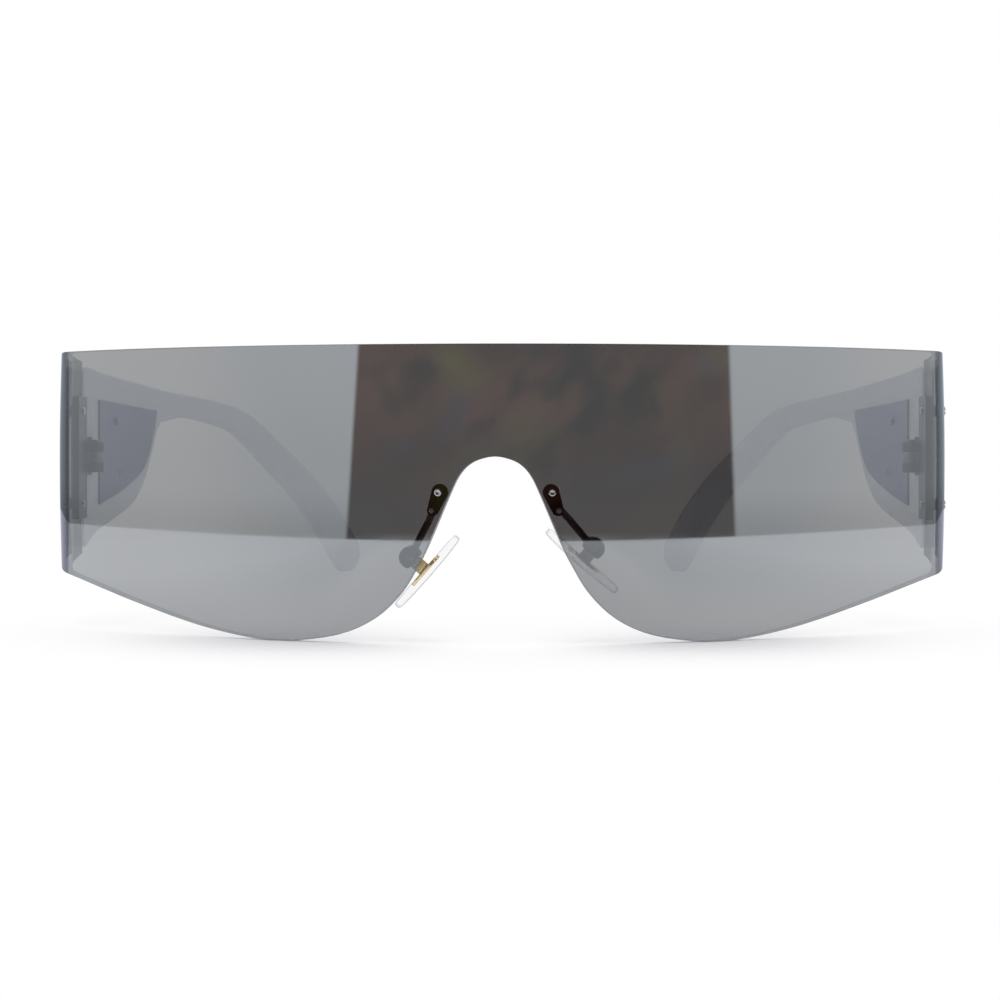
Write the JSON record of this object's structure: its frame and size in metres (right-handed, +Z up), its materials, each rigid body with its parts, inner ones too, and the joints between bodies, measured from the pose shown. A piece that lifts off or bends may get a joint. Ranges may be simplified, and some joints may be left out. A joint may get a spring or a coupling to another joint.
{
  "type": "shield sunglasses",
  "caption": "Rimless wraparound shield sunglasses: one mirrored lens with side wings, two tall white temples on screw hinges, and clear nose pads on black wire arms.",
  "frame": {"origin": "centre of the bounding box's base, on the surface that the lobes and ear tips stand on", "axes": "+Z up, the lens looks along -Y, the temples run towards +Y, +X is the right side of the front view"},
  "size_m": [0.1506, 0.1618, 0.0453],
  "materials": {
    "lens": "grey tint, silver flash mirror outside",
    "gunmetal": "satin gunmetal",
    "steel": "polished",
    "clear_plastic": "clear",
    "white_plastic": "satin white",
    "leaf_metal": "satin grey",
    "black_metal": "black, low gloss",
    "black_plastic": "black",
    "gold_plate": "gold plated",
    "silicone": "clear, soft"
  },
  "bodies": {
    "front": {"lens": "lens", "left_endpiece": "gunmetal", "right_endpiece": "gunmetal", "left_wing_screws": "steel", "right_wing_screws": "steel", "left_wing_bushes": "clear_plastic", "right_wing_bushes": "clear_plastic", "left_hinge_screw": "steel", "right_hinge_screw": "steel", "left_pad_arm": "black_metal", "right_pad_arm": "black_metal", "left_mount_screw": "steel", "right_mount_screw": "steel", "left_mount_pin": "black_plastic", "right_mount_pin": "black_plastic", "left_pad_screw": "steel", "right_pad_screw": "steel"},
    "left_arm": {"left_temple": "white_plastic", "left_hinge_leaf": "leaf_metal", "left_leaf_rivets": "leaf_metal"},
    "left_pad": {"left_pad_insert": "gold_plate", "left_nose_pad": "silicone"},
    "right_arm": {"right_temple": "white_plastic", "right_hinge_leaf": "leaf_metal", "right_leaf_rivets": "leaf_metal"},
    "right_pad": {"right_pad_insert": "gold_plate", "right_nose_pad": "silicone"}
  },
  "joints": [
    {"name": "left_fold", "type": "hinge", "parent": "front", "child": "left_arm", "pos_m": [-0.07053, -0.03566, 0.0276], "axis": [0, 0, -1], "range_deg": [0, 85]},
    {"name": "right_fold", "type": "hinge", "parent": "front", "child": "right_arm", "pos_m": [0.07053, -0.03566, 0.0276], "axis": [0, 0, 1], "range_deg": [0, 80]},
    {"name": "left_rock", "type": "hinge", "parent": "front", "child": "left_pad", "pos_m": [-0.0133, -0.07134, 0.01265], "axis": [0, 1, 0], "range_deg": [-8, 8]},
    {"name": "right_rock", "type": "hinge", "parent": "front", "child": "right_pad", "pos_m": [0.015, -0.07134, 0.0141], "axis": [0, 1, 0], "range_deg": [-8, 8]}
  ]
}
